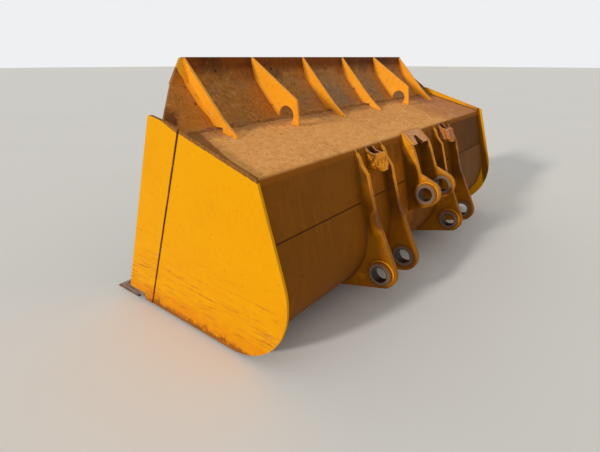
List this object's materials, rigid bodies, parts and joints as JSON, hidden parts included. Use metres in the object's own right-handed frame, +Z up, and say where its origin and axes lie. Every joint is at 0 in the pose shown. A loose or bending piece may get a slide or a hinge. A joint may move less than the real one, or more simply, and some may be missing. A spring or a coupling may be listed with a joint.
{
  "type": "wheel loader bucket",
  "caption": "Wide earth-moving bucket with a ribbed spill guard, lifting holes, hinge ears for the lift arms and ears for the tilt link.",
  "frame": {"origin": "on the ground under the middle of the bucket's overall box, as it stands level", "axes": "+X to the right across the bucket, +Y forward to the cutting edge, +Z up"},
  "size_m": [2.55, 1.3499, 1.19],
  "materials": {
    "yellow_paint": "weathered orange-yellow paint, chipped at its edges",
    "shell_plate": "worn paint under rust and dust",
    "guard_steel": "rusty, dusty plate with paint left in patches",
    "worn_steel": "scoured bare steel with rust",
    "bare_stop": "hammered bare steel with rust and chipped paint"
  },
  "bodies": {
    "root": {"cutting_edge": "worn_steel", "edge_segment_left": "worn_steel", "edge_segment_middle": "worn_steel", "edge_segment_right": "worn_steel", "guard_lip": "guard_steel", "guard_plate": "guard_steel", "hinge_ear_left_inner": "yellow_paint", "hinge_ear_left_outer": "yellow_paint", "hinge_ear_right_inner": "yellow_paint", "hinge_ear_right_outer": "yellow_paint", "lifting_rib_left": "yellow_paint", "lifting_rib_right": "yellow_paint", "link_ear_left": "yellow_paint", "link_ear_right": "yellow_paint", "link_roof": "yellow_paint", "lower_shell": "shell_plate", "rib_1": "yellow_paint", "rib_2": "yellow_paint", "rib_3": "yellow_paint", "rib_4": "yellow_paint", "rib_toe_1": "yellow_paint", "rib_toe_2": "yellow_paint", "rib_toe_3": "yellow_paint", "rib_toe_4": "yellow_paint", "side_edge_left": "yellow_paint", "side_edge_right": "yellow_paint", "side_plate_left": "yellow_paint", "side_plate_right": "yellow_paint", "stop_block_left": "bare_stop", "stop_block_right": "bare_stop", "upper_shell": "shell_plate", "wear_plate_left": "worn_steel", "wear_plate_middle": "worn_steel", "wear_plate_right": "worn_steel"}
  },
  "joints": []
}
